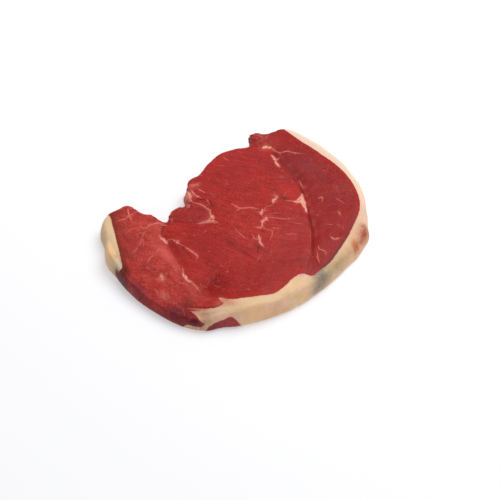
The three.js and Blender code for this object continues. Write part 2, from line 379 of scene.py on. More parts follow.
FAT_STAINS = {
    "bruise": ((90, 94, 98), 0.86, (110, 14.5), (9, 10)),
    "bruise, foot": ((130, 122, 110), 0.75, (103, 8), (8, 7)),
    "bruise, top": ((146, 138, 126), 0.7, (111, 23), (9, 5)),
    "olive beside it": ((176, 148, 106), 0.8, (131, 15), (16, 11)),
    "stain": ((174, 62, 18), 1.0, (172.5, 14), (11, 11)),
    "stain, dark top": ((146, 48, 20), 0.75, (178, 18.5), (2.8, 3.5)),
    "stain, dark heart": ((150, 50, 22), 0.7, (172, 15.5), (2.2, 4.5)),
    "stain, dark foot": ((150, 54, 24), 0.7, (165, 11), (2.4, 4.5)),
    "stain, dark side": ((150, 52, 26), 0.75, (177, 8), (1.6, 3.5)),
    "stain, pale heart": ((200, 128, 104), 0.35, (169, 8), (1.8, 3)),
    "stain, second": ((186, 98, 50), 1.0, (156.5, 15.5), (5.6, 9.5)),
    "stain, second's edge": ((172, 84, 46), 0.6, (152.5, 13), (1.6, 4.5)),
    "stain, faint foot": ((208, 156, 120), 0.7, (146, 17), (4, 7)),
    "rosy belly": ((222, 170, 146), 0.6, (61, 12), (9, 6)),
    "rosy root": ((216, 168, 144), 0.5, (31, 13), (6, 6)),
    "peach belly": ((240, 190, 134), 0.7, (46, 12), (11, 8)),
    "ochre belly": ((228, 184, 120), 0.5, (84, 12), (9, 7)),
    "ochre low": ((210, 164, 104), 0.45, (58, 5), (14, 3.5)),
    "grey tongue": ((172, 126, 102), 0.75, (4, 15.5), (10, 8)),
    "tongue's dull top": ((176, 118, 98), 0.65, (-2, 22), (10, 4)),
    "stalk, upper": ((178, 138, 108), 0.6, (3, 11.5), (5, 4)),
    "grey stalk": ((160, 126, 98), 0.75, (-1, 5), (6, 5)),
    "peach right": ((234, 186, 160), 0.7, (203, 15), (16, 10)),
    "rosy right": ((214, 170, 146), 0.7, (187, 28.5), (23, 5)),
    "grey shoulder": ((196, 166, 132), 0.6, (196, 17), (9, 8)),
    "rosy far rim": ((228, 196, 178), 0.95, (290, 22), (75, 12)),
    "pale far edge": ((248, 230, 212), 0.6, (290, 18), (70, 4)),
    "rosy by the corner": ((210, 162, 150), 0.8, (97, 31.5), (7, 3)),
    "duller band": ((216, 182, 140), 0.5, (40, 28), (20, 6)),
    "film over the tongue": ((160, 88, 76), 0.9, (-11, 20.5), (7, 3.2)),
    "film at the wedge": ((198, 118, 100), 0.9, (18, 30), (7, 4)),
    "film under the wedge": ((206, 140, 116), 0.7, (22, 27), (10, 3)),
    "curl at the foot": ((240, 212, 178), 0.8, (-2.6, 2.5), (0.9, 2.6)),
    "film at the foot": ((186, 142, 118), 0.85, (-8, 2), (8, 3.2)),
    "pad, outer grey": ((188, 160, 124), 0.8, (-132, 9), (34, 8)),
    "pad, apricot": ((244, 188, 126), 0.75, (-111, 15), (7, 6)),
    "pad, cream": ((232, 204, 164), 0.6, (-118, 26), (20, 6)),
    "pad, apricot low": ((224, 178, 126), 0.6, (-101, 11), (5, 6)),
    "pad, ochre spot": ((188, 152, 86), 0.6, (-99.5, 19), (2.2, 1.8)),
    "pad, pale foot": ((202, 190, 168), 0.8, (-91, 17), (5, 4)),
    "pad, grey foot": ((172, 148, 124), 0.75, (-93, 8), (5, 7)),
    "pad, blood": ((82, 0, 18), 1.8, (-89, 8.2), (2.2, 3.6)),
    "pad, brown top": ((128, 62, 48), 0.85, (-157, 12), (4.5, 12)),
}
rind = inside(smooth_line(RIND, closed=True), plan)
pad = inside(smooth_line(PAD, closed=True), plan)
near_side = (np.abs(edge_run) < NEAR_RUN) & (place[:, 1] < NEAR_Y) & (girth > NEAR_GIRTH)


def on_near_side(loop):
    """Signed distance to a loop drawn round the near side, and well outside it elsewhere."""
    return np.where(near_side, inside(smooth_line(loop, closed=True), rim), WELL_OUTSIDE)


foot_band = on_near_side(FOOT_BAND)
fat = np.maximum(np.maximum(rind, pad), foot_band)
fat = np.minimum(fat, np.maximum(-on_near_side(UNDER_TONGUE), foot_band))
fat = np.minimum(fat, -on_near_side(FOOT_PATCH))
ridge_girth = np.interp(edge_run, *np.array(RIDGE).T)
above_ridge = girth - ridge_girth
cut_fat = step(-0.8, 0.8, above_ridge + 0.8 * lumps(place, 3)) * (girth > 0)
cut_fat = np.where(faces_down, 0.6, cut_fat)
fat_stain = tinted(FAT_STAINS, rim, 0.6)

# ---------------------------------------------------------------------------------------------
# The tail's skin: a thin tough membrane down its rounded outer side, purple and half clear, with
# the red of the lean behind it.
SKINNED = [
    (-104, 38), (-99, 24), (-98, 4), (-95, -14), (-90, -28), (-84, -38), (-84, -62), (-100, -66),
    (-124, -30), (-128, 10), (-122, 36),
]
ROLLED_EDGE = (82, 98)  # mm from the middle the way the skinned side faces
SKIN_TOP = 8.5  # the girth up to which the skin reaches, and how ragged its upper edge is
SKIN_RAGGED = 3
SKIN_MIDDLE = -30  # the stained stretch along the edge, and half its length
SKIN_HALF_RUN = 64
beside_skin = step(-4, 4, inside(smooth_line(SKINNED, closed=True), place[:, :2]))
past_rolled_edge = step(*ROLLED_EDGE, place[:, :2] @ SKIN_FACES)
skin_top = SKIN_TOP + SKIN_RAGGED * lumps(place, 8)
skinned = beside_skin * step(-4, 4, skin_top - girth) * (girth > 0)
SKIN_STAINS_AND_SHEEN = {
    "glaze, upper": ((116, 36, 52), 0.7, (-66, 12.5), (13, 4.5)),
    # Painted sheen: a pale purple-blue highlight on the glaze.
    "glaze, painted sheen": ((118, 58, 74), 0.25, (-59, 13), (7, 2.0)),
    "glaze, middle": ((128, 32, 40), 0.4, (-46, 11), (12, 3.5)),
    "glaze, lower": ((110, 32, 42), 0.8, (-22, 13.5), (14, 7)),
    "glaze, lower foot": ((104, 24, 36), 0.7, (-20, 6), (10, 4.0)),
    "glaze, by the tongue": ((108, 26, 36), 0.65, (-11, 14), (5, 5)),
    # Painted sheen, lower on the glaze.
    "glaze, lower painted sheen": ((126, 60, 74), 0.25, (-22, 14), (5, 1.4)),
    "brown under the pad": ((92, 38, 34), 0.9, (-82, 9), (6, 8)),
    "grey under the pad": ((116, 60, 66), 0.25, (-81, 8), (4, 3)),
    "blood under the pad": ((84, 0, 22), 1.6, (-86.6, 7.4), (2.8, 3.8)),
    "brown foot by the pad": ((84, 20, 24), 0.8, (-76.4, 7), (5, 4.5)),
    "brown by the pad's tip": ((84, 34, 28), 0.85, (-84.5, 16), (3.6, 6)),
    "red foot": ((150, 34, 34), 0.7, (-50, 3.5), (20, 3.6)),
    "rosy foot": ((168, 60, 56), 0.5, (-32, 1.6), (20, 1.6)),
    "under the tongue": ((80, 8, 22), 0.95, (-6, 10), (7, 4.5)),
    "brown by the band": ((122, 60, 40), 0.7, (-10, 5.5), (6, 1.4)),
    "foot patch": ((154, 68, 74), 0.85, (18, 5), (18, 9)),
    "foot patch, dark side": ((126, 46, 54), 0.7, (8.5, 4), (6, 5)),
}
skin_stain_and_sheen = tinted(SKIN_STAINS_AND_SHEEN, rim)
on_skin_side = step(-1, 1, SKIN_HALF_RUN - np.abs(edge_run - SKIN_MIDDLE)) * (place[:, 1] < 40)
skin_stain_and_sheen[:, 3] *= (girth > -1) * on_skin_side

# ---------------------------------------------------------------------------------------------
# Veins of fat, from a hair to 3 mm wide, and the dark cracks that open between fibres, with one line of
# painted shade where the cap meets the rind. Each is a width in mm, a strength from 0 to 1 and a run of
# points.
# Hair veins, and pale specks drawn like veins as painted glints of the wet surface, follow from a
# seeded draw.
VEINS = {
    "fork in the eye": (1.2, 0.8, [(2, 23.5), (3.5, 15.5), (7, 12.5), (11.5, 9.5), (14.5, 5)]),
    "its barb": (0.9, 0.6, [(3.5, 15.5), (-0.5, 14)]),
    "chain, upper bead": (2.0, 1.0, [(37.5, 5.5), (34.5, 3.5), (32.5, 4), (29.5, 1)]),
    "chain, upper barb": (0.9, 0.7, [(36, 8), (35, 4), (33.5, 1)]),
    "chain, thread": (0.8, 0.5, [(29.5, 1), (26, 0), (22, 1.5), (18, 0.5)]),
    "chain, lower bead": (2.0, 1.0, [(18, 1.5), (16, -0.5), (14.5, -0.5), (13, -3)]),
    "chain, lower barb": (0.9, 0.7, [(19.5, -1.5), (16, 0), (12.5, 2)]),
    "chain, tip": (0.8, 0.5, [(39.5, 11), (36, 5)]),
    "chain, cross": (0.7, 0.4, [(34, 10.5), (39.5, 6)]),
    "knot": (2.1, 1.0, [(14.5, -7), (12, -9.5), (9.5, -8.5), (7, -10.5)]),
    "knot, spur": (1.1, 0.8, [(12.5, -5.5), (12, -9), (13.5, -11.5)]),
    "knot, foot": (1.5, 0.9, [(7.5, -10), (5, -13), (2.5, -12.5), (0.5, -10)]),
    "knot, long arm": (0.9, 0.7, [(15, -7.5), (20, -13), (25.5, -19.5), (30.5, -22)]),
    "knot, short arm": (0.7, 0.5, [(18, -6), (24.5, -9.5)]),
    "knot, tail": (0.9, 0.6, [(4, -13.5), (6, -18), (8, -22.5), (4.5, -26), (1, -28.5)]),
    "knot, barb": (0.8, 0.6, [(8, -21), (11.5, -21), (15, -23.5)]),
    "ladder, left": (1.0, 0.8, [(-7, -15), (-8.5, -18.5), (-7.5, -21.5), (-4, -21)]),
    "ladder, right": (1.8, 1.0, [(-3, -18.5), (-5.5, -22), (-8, -26), (-8.5, -30)]),
    "slanting hair": (0.8, 0.6, [(-14, 0), (-14.5, -7.5), (-14, -14.5)]),
    "low hair": (0.7, 0.35, [(-13, -34.5), (-18, -37), (-23, -38.5)]),
    "right dash": (0.8, 0.6, [(28, -26.5), (30, -29), (33, -32)]),
    "right dash, lower": (0.8, 0.6, [(15, -32), (18.5, -34.5), (21.5, -38)]),
    "wedge, arm": (0.9, 0.9, [(40.5, -4), (44.3, -7.7), (47.5, -10), (51, -10.5)]),
    "wedge, web": (4.0, 1.0, [(49.5, -10.2), (52, -11.8), (52, -15)]),
    "wedge, web's heart": (3.2, 0.9, [(49.6, -12), (48.6, -16.5), (47.2, -20.5)]),
    "wedge, web's corner": (2.2, 0.9, [(44.2, -8.6), (47.5, -11.2), (49.5, -12.6)]),
    "wedge, web's top": (3.0, 0.9, [(55.2, -7.6), (52, -9.2), (48.4, -9.6)]),
    "wedge, fillet": (2.4, 1.0, [(52, -12), (50.8, -15.5), (48.6, -19.5)]),
    "wedge": (2.8, 1.0, [(57, -5.5), (54.3, -9.5), (51, -15), (48, -20), (45, -24.5)]),
    "eye's edge": (0.7, 0.4, [(44, -26.5), (38, -36), (30, -46.5), (20, -57), (12.5, -63)]),
    "seam tick": (0.9, 0.8, [(65.5, 7), (62.8, 1)]),
    "arrow": (2.2, 0.9, [(67, 47), (65.5, 41), (63.5, 36.5), (62.5, 31)]),
    "arrow, barb": (1.4, 0.9, [(69.5, 40), (67, 39.5), (64.5, 38.5)]),
    "far line": (1.1, 0.8, [(73, 50), (76, 44.5), (81.5, 41.5), (84, 37), (88, 32)]),
    "far clot": (2.8, 0.95, [(67, 60), (70.5, 58.4), (73, 54)]),
    "far clot, tail": (1.2, 0.7, [(72.6, 54.6), (74, 50)]),
    "cap end, first": (1.1, 0.3, [(68, 75), (71, 72), (70.5, 69)]),
    "cap end, second": (1.2, 0.5, [(72.5, 77), (75, 73), (78, 71)]),
    "cap end, third": (1.0, 0.45, [(74, 69.5), (78.5, 67.5), (82, 68.5)]),
    "cap end, fourth": (1.0, 0.4, [(68.5, 68.2), (71, 66.6), (74.2, 66.4)]),
    "far clot, shred": (1.2, 0.5, [(63.5, 61.5), (66, 61.2), (67.5, 60.4)]),
    "far clot, second shred": (1.0, 0.4, [(69.5, 55), (71.5, 57), (73.5, 58.5)]),
    "far clot, third shred": (1.0, 0.5, [(62.5, 57.5), (65, 57), (66.5, 54.5)]),
    "crack_and_shade": (0.7, 0.6, [(41, 1.5), (47, 4)]),
    "upper speck": (0.9, 0.7, [(32, 72), (33, 66.5)]),
    "upper hair": (0.6, 0.5, [(21.5, 67.5), (26, 63.5)]),
    "pale hair": (0.7, 0.5, [(53.5, 21), (58.5, 17.5)]),
    "lobe's edge": (
        1.3, 0.9, [(-20.5, 46), (-18, 41), (-17, 35), (-16.5, 30.5), (-19, 26.5), (-22, 22)],
    ),
    "lobe's corner": (2.6, 0.7, [(-18.5, 26), (-20, 21.5), (-23, 17.5)]),
    "lobe's corner, inner": (2.2, 0.7, [(-24.5, 22.5), (-21.5, 20)]),
    "lobe's underside": (2.0, 0.55, [(-33, 25), (-28, 22.5), (-24, 19.5), (-20.5, 14.5)]),
    "cut edge, clot": (2.2, 0.85, [(-17.8, 59.4), (-19, 55.4), (-19.8, 52)]),
    "cut edge, rim": (1.6, 0.6, [(-15.5, 63), (-20, 58.5), (-24, 54), (-28.5, 49)]),
    "cut edge, fold": (1.5, 0.9, [(-20.8, 57), (-21, 52.6), (-22, 48.6)]),
    "cut edge, second fold": (1.0, 0.4, [(-22, 56), (-25, 52), (-26, 48)]),
    "cut edge, low fold": (1.0, 0.4, [(-24, 46), (-26, 46.2), (-31.5, 44.5)]),
    "cut edge, first": (1.5, 0.9, [(-14.4, 58.6), (-15.4, 52.4), (-14.2, 47)]),
    "cut edge, curl": (0.9, 0.7, [(-29.4, 47.4), (-27, 46.8), (-27, 44.6), (-28.8, 44)]),
    "cut edge, sixth": (0.9, 0.5, [(-12.5, 66), (-8, 62.5), (-2.5, 61)]),
    "cut edge, second": (1.1, 0.8, [(-9, 56), (-7.5, 49)]),
    "cut edge, third": (1.0, 0.8, [(-11, 63.5), (-5, 58.5)]),
    "cut edge, speck": (0.9, 0.7, [(-11, 40.5), (-13, 35)]),
    "long vein, tip": (1.2, 0.7, [(-65.9, 36.8), (-67, 33.1)]),
    "long vein, head": (2.5, 0.8, [(-67, 33.6), (-66.2, 29.8), (-66.1, 25.7)]),
    "long vein, bend": (1.1, 0.55, [(-66.1, 27), (-63.5, 27.4), (-61.2, 25.4), (-60.2, 23.2)]),
    "long vein, knot": (1.7, 0.8, [(-60.6, 24), (-60, 19.9), (-59.6, 17.5)]),
    "long vein, barb": (0.9, 0.7, [(-60.5, 21.5), (-57.5, 20.8)]),
    "long vein, thread": (1.0, 0.45, [(-59.6, 17.5), (-58.4, 14.4), (-57.6, 11.2)]),
    "long vein, end": (
        1.5, 0.72, [(-57.6, 11.2), (-57, 5.2), (-56.3, 0.5), (-56.6, -3.2), (-58.2, -4.2)],
    ),
    "pit, pale wrinkle": (1.0, 0.35, [(-72, -26.5), (-73.2, -30.2)]),
    "pit, second pale wrinkle": (0.9, 0.3, [(-71.5, -29.6), (-70.7, -33)]),
    "tongue, pale lip": (1.1, 0.75, [(-75.5, -53), (-80, -49.6), (-85.7, -43.8), (-91.8, -37.6)]),
    "hook, shank": (1.2, 0.75, [(-72.5, -3.4), (-76, -10.4)]),
    "hook": (2.7, 0.85, [(-75, -8), (-76.4, -11.5), (-76.7, -15.5), (-76, -19.5)]),
    "hook, point": (1.5, 0.75, [(-76.5, -15), (-75.9, -20.6), (-76, -25), (-76, -30)]),
    "notch": (1.0, 0.8, [(-58, 45.5), (-54.5, 41.5)]),
    "star, long ray": (1.0, 0.8, [(-83.7, 71.8), (-80, 70.8), (-76, 69.5), (-66.9, 69.5)]),
    "star, upright ray": (1.2, 0.9, [(-68.9, 76.9), (-72, 71.5), (-74.2, 65)]),
    "star, short ray": (0.7, 0.6, [(-71.5, 66.5), (-73.5, 70), (-77.5, 73.5)]),
    "star, low ray": (0.6, 0.5, [(-79.3, 69.9), (-80.5, 66.5), (-80, 63.5)]),
    "web, left arm": (0.8, 0.6, [(-87.1, 55.5), (-82, 57), (-79, 56.7), (-74.3, 54.2)]),
    "web, knee": (0.8, 0.6, [(-74.3, 54.2), (-71.5, 54.5), (-70.3, 57.5)]),
    "web, middle": (0.9, 0.7, [(-74.3, 54.2), (-71.5, 50.5), (-68.9, 49.1), (-66, 51)]),
    "web, right arm": (1.1, 0.8, [(-68.9, 49.1), (-66, 49.8), (-63.6, 49.2), (-60, 48), (-56.4, 46.8)]),
    "web, lower arm": (0.7, 0.5, [(-80.7, 49.2), (-77, 49), (-74.4, 47), (-70.5, 46.5)]),
    "web, long root": (
        0.9, 0.45, [(-74.4, 47), (-78.4, 43.5), (-83, 40), (-89.6, 37.1), (-95.2, 34.8)],
    ),
    "web, far root": (0.6, 0.4, [(-78.4, 43.5), (-80, 39.5), (-84, 35)]),
    "web, lower": (0.9, 0.7, [(-82.5, 22), (-87, 21.5), (-92, 19)]),
    "web, by the flank": (0.8, 0.6, [(-79.4, 23), (-76.5, 23.8), (-74.7, 25.8)]),
    "tail clot": (2.4, 0.7, [(-90.4, 2.2), (-91.4, -0.6), (-92.4, -2.6)]),
    "tail clot, cross": (0.9, 0.3, [(-96.5, 3.5), (-94, 0.8), (-91.5, -0.5)]),
    "tail clot, thread": (0.8, 0.35, [(-92.5, -3.4), (-93.5, -7.1), (-93, -10)]),
    "tail curl": (0.9, 0.35, [(-102.1, -4.9), (-101.5, -8.5), (-103.7, -12)]),
    "tail brush, first": (1.3, 0.35, [(-98.5, -9.9), (-98.8, -13), (-100.6, -16.5)]),
    "tail brush, second": (0.9, 0.3, [(-95.5, -14.4), (-97.5, -17), (-98.5, -21)]),
    "tail brush, third": (1.1, 0.3, [(-102, -14), (-101, -18.5), (-102, -22)]),
    "tail curl, third": (0.9, 0.4, [(-96, -27), (-97.5, -30.5), (-96.5, -33)]),
    "tail, film curl": (1.2, 0.6, [(-95.5, -33.5), (-96.6, -36.5), (-96.3, -40.5)]),
    "cap, corner": (1.1, 0.7, [(64, -18), (68, -19), (64.5, -22.5)]),
    "cap, dash": (0.9, 0.6, [(76, -27.5), (77.5, -35.5)]),
    "cap, tick": (1.2, 0.8, [(67.5, -40), (65.5, -45)]),
    "cap, short dash": (0.9, 0.6, [(50.5, -45.5), (52.5, -47.5)]),
    "cap, short dash, second": (0.8, 0.5, [(56.5, -50), (57.5, -52.5)]),
    "cap, short dash, third": (0.8, 0.5, [(49.5, -30.5), (51.5, -32.5)]),
    "cap, hook": (1.3, 0.8, [(43, -57.5), (43.5, -61), (47.5, -63)]),
    "cap, fork": (1.0, 0.7, [(28.5, -58), (26.5, -61), (28.5, -65.5), (26.5, -69.5)]),
    "cap, fork, root": (1.1, 0.7, [(23, -62.5), (19.5, -67), (17, -71.5)]),
    "cap, hair": (0.7, 0.4, [(88.5, 4.5), (91, 1)]),
}
HAIR_VEINS = 110
HAIR_LENGTH = (1.5, 6.0)
HAIR_WIDTH = (0.2, 0.42)  # half of it
HAIR_STRENGTH = (0.08, 0.3)
# Pale specks drawn with the veins are painted glints of the wet surface.
GLINT_SPECKS = 80
GLINT_SPECK_WIDTH = (0.4, 0.8)
GLINT_SPECK_STRENGTH = (0.2, 0.7)
SCATTER = ((-112, -82), (100, 84))  # the corners of the slice
CRACKS_AND_SHADE = {
    "seam": (
        1.7, 1.0, [(61.2, 3), (56.8, -8.3), (51.8, -17.2), (47, -24.8), (41.5, -32.6), (35.4, -42.6)],
    ),
    "seam, lower": (1.5, 0.9, [(35.4, -42.6), (31.4, -47.6), (27.4, -52.1), (18.6, -60.6)]),
    "seam, foot": (1.2, 0.3, [(19.8, -59.5), (12.7, -65.2), (4.9, -70.5)]),
    "seam, upper": (1.3, 0.35, [(63.2, 16), (62.8, 9), (61.4, 3)]),
    "seam, second": (1.1, 0.3, [(68, 30), (67.5, 20), (66, 10)]),
    "chain, head": (1.4, 0.7, [(40.5, 3), (41, 0), (44, -3)]),
    "under the knot": (1.2, 0.6, [(8, -1), (10.5, -5.5)]),
    "under the ladder": (1.4, 0.6, [(-9, -26), (-13, -28.5), (-16, -32)]),
    "by the lobe": (1.2, 0.6, [(-9.5, 40), (-12, 35.5), (-12.5, 30)]),
    "eye, first": (0.9, 0.55, [(-29.5, 1), (-27.5, -6.5), (-25.5, -15.5)]),
    "eye, second": (0.8, 0.5, [(-38, -1.5), (-34, -8), (-31.5, -13)]),
    "eye, third": (0.8, 0.4, [(-35.5, 13.5), (-30, 3)]),
    "eye, fourth": (0.8, 0.4, [(-22.5, -16.5), (-19, -26.5), (-14, -36)]),
    "eye, fifth": (0.7, 0.35, [(-43.5, 23.5), (-40, 17), (-38.5, 9)]),
    "notch": (1.3, 0.8, [(-55, 44), (-60, 40), (-63.5, 36), (-62.5, 30)]),
    "tail step": (1.4, 0.55, [(-62.5, 27), (-60, 16), (-60.5, 7), (-61.5, -1)]),
    "pit, first": (0.9, 0.6, [(-60, -25), (-61.9, -29.6)]),
    "pit, second": (0.9, 0.6, [(-56.9, -26.6), (-58.9, -30.4)]),
    "pit, third": (0.9, 0.6, [(-53, -27.2), (-55.3, -30.2)]),
    "pit, fourth": (0.9, 0.6, [(-51.8, -31), (-55.2, -33.6)]),
    "pit, heart": (1.6, 0.8, [(-61.7, -30.9), (-62.5, -34.6), (-61.8, -38)]),
    "pit, fifth": (1.0, 0.6, [(-57.8, -35.2), (-60.4, -35.8)]),
    "pit, sixth": (1.0, 0.65, [(-61.1, -39.2), (-60.3, -42.1)]),
    "pit, seventh": (0.9, 0.55, [(-64, -28.9), (-66.9, -32)]),
    "pit, eighth": (0.9, 0.5, [(-72.1, -31.5), (-70.8, -34.6)]),
    "pit, ninth": (0.8, 0.45, [(-58.2, -43.3), (-54.1, -43.5)]),
    "above the tongue": (1.7, 0.85, [(-73.7, -53.2), (-79.1, -48.6), (-84.8, -42.8), (-90.9, -36.6)]),
    "above the rind": (0.9, 0.4, [(-66, -45), (-58, -51), (-49, -56.5), (-40, -60.5)]),
    # Painted shade: a dark line in the lean where the cap meets the raised rind.
    "painted shade where the cap meets the rind": (1.6, 0.6, [(62, -66.5), (50, -70), (38, -74), (27, -77), (17, -78.5)]),
    "far end": (1.1, 0.6, [(64, 64), (66, 70), (69, 74)]),
    "cut edge, dark gap": (1.8, 0.65, [(-17, 51), (-16, 47), (-12.4, 41)]),
    "cut edge, dark foot": (1.8, 0.55, [(-24, 53.8), (-24.9, 49), (-23.8, 46)]),
    "cut edge, thin gap": (0.9, 0.7, [(-16.2, 58.6), (-17.2, 54), (-17.6, 51)]),
    "far seam": (1.4, 0.6, [(70, 51), (70.9, 45.4), (69, 37.7), (66.8, 30)]),
    "recess": (1.8, 0.5, [(58.6, 66.9), (61.9, 65.1), (64.3, 62.6)]),
    "cut edge, second": (1.0, 0.55, [(-22.5, 47), (-25.5, 44), (-27.5, 40.5)]),
    "cut edge, third": (0.9, 0.5, [(-13, 61), (-9, 59), (-5, 58.5)]),
    "far end, second": (1.0, 0.55, [(70, 79), (72.5, 74), (76, 71.5)]),
    "far end, third": (1.0, 0.5, [(69.5, 67), (74, 66), (79, 70)]),
    "upper slant": (0.6, 0.3, [(26, 66), (28, 58), (31, 52)]),
}
LENS = np.array([33.0, 18.0])  # fibres arch over this place
LENS_ARCHES = (5, 8, 11, 14)
FIBRES_RUN = math.radians(-57)  # the way they run over most of the eye
FIBRE_SWIRLS = [((-25, -45), 25, 15), ((73, -26), 28, -14), (LENS, 13, 7)]  # middle, reach, push


def stroke(width, strength, points):
    """A tapering stroke as rows of place, way, half its width and strength."""
    run = smooth_line(points, 0.3)
    share = np.linspace(0, 1, len(run))
    taper = np.clip(4 * np.minimum(share + 0.08, 1.08 - share), 0, 1) ** 0.5
    way = np.gradient(run, axis=0)
    return np.column_stack([run, way, width / 2 * taper, np.full(len(run), strength)])


def strokes_at(strokes, points):
    """The nearest stroke's signed distance, its half width and its strength at each point."""
    rows = np.vstack(strokes)
    index, distance = nearest(rows[:, :2], points)
    row = rows[index]
    off = points - row[:, :2]
    left = np.sign(row[:, 2] * off[:, 1] - row[:, 3] * off[:, 0])
    distance = np.minimum(distance, 4.0)
    return np.column_stack([left * distance, distance, row[:, 4]]), row[:, 5]


vein_and_glint_strokes = [stroke(*vein_and_glint) for vein_and_glint in VEINS.values()]
crack_and_shade_strokes = [stroke(*crack_and_shade) for crack_and_shade in CRACKS_AND_SHADE.values()]
for radius in LENS_ARCHES:
    turn = np.radians(np.linspace(-20, 150, 8))
    arch = LENS + radius * np.column_stack([np.cos(turn), np.sin(turn)])
    crack_and_shade_strokes.append(stroke(0.8, 0.5, arch))
draw = np.random.default_rng(23)
for _ in range(GLINT_SPECKS):
    start = draw.uniform(*SCATTER)
    glint_speck = [start, start + draw.normal(0, 0.5, 2), start + draw.normal(0, 0.7, 2)]
    vein_and_glint_strokes.append(stroke(draw.uniform(*GLINT_SPECK_WIDTH), draw.uniform(*GLINT_SPECK_STRENGTH), glint_speck))
for _ in range(HAIR_VEINS):
    start = draw.uniform(*SCATTER)
    turn = FIBRES_RUN + draw.normal(0, 0.5)
    turned = np.array([math.cos(turn), math.sin(turn)])
    length = draw.uniform(*HAIR_LENGTH)
    sag = draw.normal(0, 0.12) * length * np.array([-turned[1], turned[0]])
    hair = [start, start + turned * length / 2 + sag, start + turned * length]
    vein_and_glint_strokes.append(stroke(2 * draw.uniform(*HAIR_WIDTH), draw.uniform(*HAIR_STRENGTH), hair))
vein_and_glint, vein_and_glint_strength = strokes_at(vein_and_glint_strokes, plan)
crack_and_shade, crack_and_shade_strength = strokes_at(crack_and_shade_strokes, plan)
crack_share = crack_and_shade_strength * step(0.9, 0.0, crack_and_shade[:, 1] / np.maximum(crack_and_shade[:, 2], 0.05) / 2)

# ---------------------------------------------------------------------------------------------
# Relief, in mm along each point's normal: swelling muscles, fibres, creases, the rough pit, the
# crest where the knife left the fat, and the ragged edge of the cut.
EYE_GRAIN = 0.13
EYE_GRAIN_LUMPS = (26, 2.3, 6)  # mm along the fibres, across them and down
PIT = (-62, -35)
PIT_REACH = 9
NOTCH = (-32, 56)
NOTCH_CLOT = (-24, 54)
CAP_END = (71, 74)
SIDE_SWELLS = {  # distance along the edge, half width and height
    "pad's foot": (-105, 12, 3.5),
    "below the pad": (-124, 7, -0.8),
    "rind, far right": (226, 13, 2.4),
    "rind, right": (177, 8, 2.6),
}
CREST_HEIGHT = 0.55
CREST_WIDTH = 1.7
CUT_FAT_DROP = 0.25  # soft fat sinks a little behind the crest


def around(middle, reach):
    """1 at a place on the cut face, falling off softly round it."""
    return np.exp(-((plan - middle) ** 2).sum(1) / (2 * reach**2))


def near(middle, full, gone):
    """1 within one distance of a place seen from above and 0 beyond another."""
    return step(-gone, -full, -np.linalg.norm(place[:, :2] - middle, axis=1))


along = plan @ (math.cos(FIBRES_RUN), math.sin(FIBRES_RUN))
across = plan @ (-math.sin(FIBRES_RUN), math.cos(FIBRES_RUN))
for middle, reach, push in FIBRE_SWIRLS:
    across += push * around(middle, reach)
across += 2.0 * lumps(np.column_stack([plan, place[:, 2]]), 22)
fibre = np.column_stack([along, across, place[:, 2]])

face = step(0.55, 0.9, np.abs(facing[:, 2]))
side = 1 - face
lean = step(-0.5, 0.5, -fat)
lean_face = face * lean
fat_side = side * (fat > 0)
cut_side = side * lean * (1 - beside_skin)
at_cap_end = near(CAP_END, 6, 16)
torn = np.maximum(near(NOTCH, 14, 38), at_cap_end)
by_notch = near(NOTCH_CLOT, 4, 13)
in_pit = around(PIT, PIT_REACH)

# Where each roughness lies, its height, the size of its lumps and which stretch of the noise.
ROUGHNESS = {
    "swelling": (1.0, 0.34, 15, 0),
    "dimples": (1.0, 0.14, 5.5, 31),
    "grain of cap and tail": (lean_face * (0.05 * cap + 0.12 * tail), 1.0, 2.6, 5),
    "lumps of the tail": (lean_face * tail, 0.25, 7, 11),
    "crumbs in the pit": (face * in_pit, 0.22, 3.0, 0),
    "cut side": (cut_side, 0.55, (5, 5, 4), 17),
    "cut side, fine": (cut_side, 0.3, 2.4, 0),
    "torn side": (torn * side * lean, 1.5, 4.5, 23),
    "torn side, fine": (torn * side * lean, 0.8, 2.2, 3),
    "cap's end": (at_cap_end * lean_face, 0.7, 4.5, 9),
    "cap's end, fine": (at_cap_end * lean_face, 0.45, 2.0, 13),
    "by the notch": (by_notch * lean_face, 0.6, (3, 3, 6), 19),
    "by the notch, fine": (by_notch * lean_face, 0.3, 1.8, 1),
    "fat, drawn out upright": (fat_side, 0.10, (1.9, 1.9, 14), 0),
    "fat, swelling": (fat_side, 0.3, 9, 0),
}
relief = np.zeros(count)
for where, height, size, stretch in ROUGHNESS.values():
    relief += where * height * lumps(place + stretch, size)
relief += lean_face * eye * EYE_GRAIN * lumps(fibre, EYE_GRAIN_LUMPS)

# The creases between the muscles, the cracks, the raised veins and the hollow of the pit.
cap_seam_lower = lean_face * step(-74, -44, place[:, 1])
relief -= cap_seam_lower * 0.8 * band(0, 1.1, past_cap_seam) * step(18, -10, place[:, 1])
relief += cap_seam_lower * 0.4 * band(-3.0, 2.2, past_cap_seam) * step(24, -10, place[:, 1])
relief -= lean_face * 0.5 * band(0, 1.3, past_tail_seam) * step(-45, 20, place[:, 1])
relief -= lean_face * 0.5 * band(0, 1.0, in_lobe)
relief -= lean_face * 0.35 * crack_share
relief += lean_face * 0.12 * vein_and_glint_strength * step(1.3, 0.6, vein_and_glint[:, 1] / (vein_and_glint[:, 2] + 0.2))
relief -= face * in_pit * 0.35

# The swells and hollows of the side, and the crest with the sunk fat behind it.
relief += 1.8 * past_rolled_edge * side
for middle, half_width, height in SIDE_SWELLS.values():
    relief += side * height * band(middle, half_width, edge_run)
crest = CREST_HEIGHT * np.exp(-np.abs(above_ridge) / CREST_WIDTH)
relief += (crest - CUT_FAT_DROP * face) * step(0, 1.5, fat) * (girth > 0)
relief *= step(-0.1, 1.2, place[:, 2])

place += relief[:, None] * facing
place[:, 2] = np.maximum(place[:, 2], 0)
steak.data.vertices.foreach_set("co", (place * MM).astype(np.float32).ravel())
steak.data.update()

